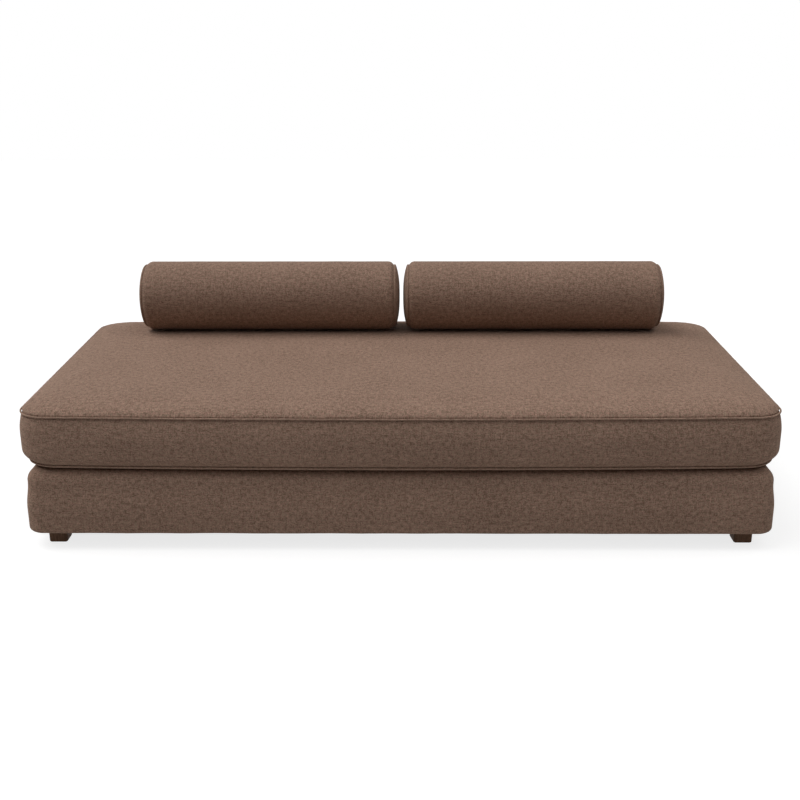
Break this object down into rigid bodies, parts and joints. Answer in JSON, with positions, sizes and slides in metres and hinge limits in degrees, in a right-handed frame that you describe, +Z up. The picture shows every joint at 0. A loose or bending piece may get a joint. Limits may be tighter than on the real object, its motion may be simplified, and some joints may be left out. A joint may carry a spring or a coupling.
{
  "type": "backless divan",
  "caption": "Low backless divan: an upholstered base on block feet, a loose piped seat cushion and loose bolsters along the back.",
  "frame": {"origin": "on the floor, below the middle of the divan, at the bottom of the centre foot's glide", "axes": "+X along the divan to the right as seen from the front, +Y to the back, +Z up; the front faces -Y"},
  "size_m": [2.2, 1.08, 0.6749],
  "materials": {
    "linen": "matte",
    "linen_piping": "matte",
    "lining_cloth": "matte",
    "foam": "matte",
    "fibre": "matte",
    "elastic_webbing": "matte",
    "zip_tape": "matte",
    "frame_wood": "matte",
    "stained_wood": "satin",
    "zinc_steel": "satin",
    "nylon": "matte"
  },
  "bodies": {
    "base": {"front_rail": "frame_wood", "back_rail": "frame_wood", "left_rail": "frame_wood", "right_rail": "frame_wood", "cross_rails": "frame_wood", "corner_blocks": "frame_wood", "centre_block": "frame_wood", "webbing_cross": "elastic_webbing", "webbing_long": "elastic_webbing", "deck_pad": "foam", "padding_front": "foam", "padding_back": "foam", "padding_left": "foam", "padding_right": "foam", "base_cover": "linen", "deck_cloth": "lining_cloth", "dust_cover": "lining_cloth", "foot_front_left": "stained_wood", "foot_front_right": "stained_wood", "foot_back_left": "stained_wood", "foot_back_right": "stained_wood", "foot_centre": "stained_wood", "foot_bolts": "zinc_steel", "tee_nuts": "zinc_steel", "foot_glides": "nylon"},
    "seat_cushion": {"seat_top_panel": "linen", "seat_boxing": "linen", "seat_zip_panels": "linen", "seat_bottom_panel": "linen", "seat_piping_top": "linen_piping", "seat_piping_bottom": "linen_piping", "seat_foam_core": "foam", "seat_fibre_wrap": "fibre", "seat_zip_chain": "zip_tape"},
    "seat_zip_slider": {"seat_zip_slider": "zinc_steel"},
    "bolster_left": {"bolster_left_cover": "linen", "bolster_left_cap_outer": "linen", "bolster_left_cap_inner": "linen", "bolster_left_piping": "linen_piping", "bolster_left_core": "fibre", "bolster_left_zip_chain": "zip_tape"},
    "bolster_left_zip_slider": {"bolster_left_zip_slider": "zinc_steel"},
    "bolster_right": {"bolster_right_cover": "linen", "bolster_right_cap_outer": "linen", "bolster_right_cap_inner": "linen", "bolster_right_piping": "linen_piping", "bolster_right_core": "fibre", "bolster_right_zip_chain": "zip_tape"},
    "bolster_right_zip_slider": {"bolster_right_zip_slider": "zinc_steel"}
  },
  "joints": [
    {"name": "seat_cushion_lift", "type": "slide", "parent": "base", "child": "seat_cushion", "axis": [0, 0, 1], "range_m": [0, 0.35]},
    {"name": "bolster_left_lift", "type": "slide", "parent": "seat_cushion", "child": "bolster_left", "axis": [0, 0, 1], "range_m": [0, 0.3]},
    {"name": "bolster_right_lift", "type": "slide", "parent": "seat_cushion", "child": "bolster_right", "axis": [0, 0, 1], "range_m": [0, 0.3]},
    {"name": "seat_zip_run", "type": "slide", "parent": "seat_cushion", "child": "seat_zip_slider", "axis": [-1, 0, 0], "range_m": [0, 1.74]},
    {"name": "bolster_left_zip_run", "type": "slide", "parent": "bolster_left", "child": "bolster_left_zip_slider", "axis": [-1, 0, 0], "range_m": [0, 0.574]},
    {"name": "bolster_right_zip_run", "type": "slide", "parent": "bolster_right", "child": "bolster_right_zip_slider", "axis": [-1, 0, 0], "range_m": [0, 0.574]}
  ]
}
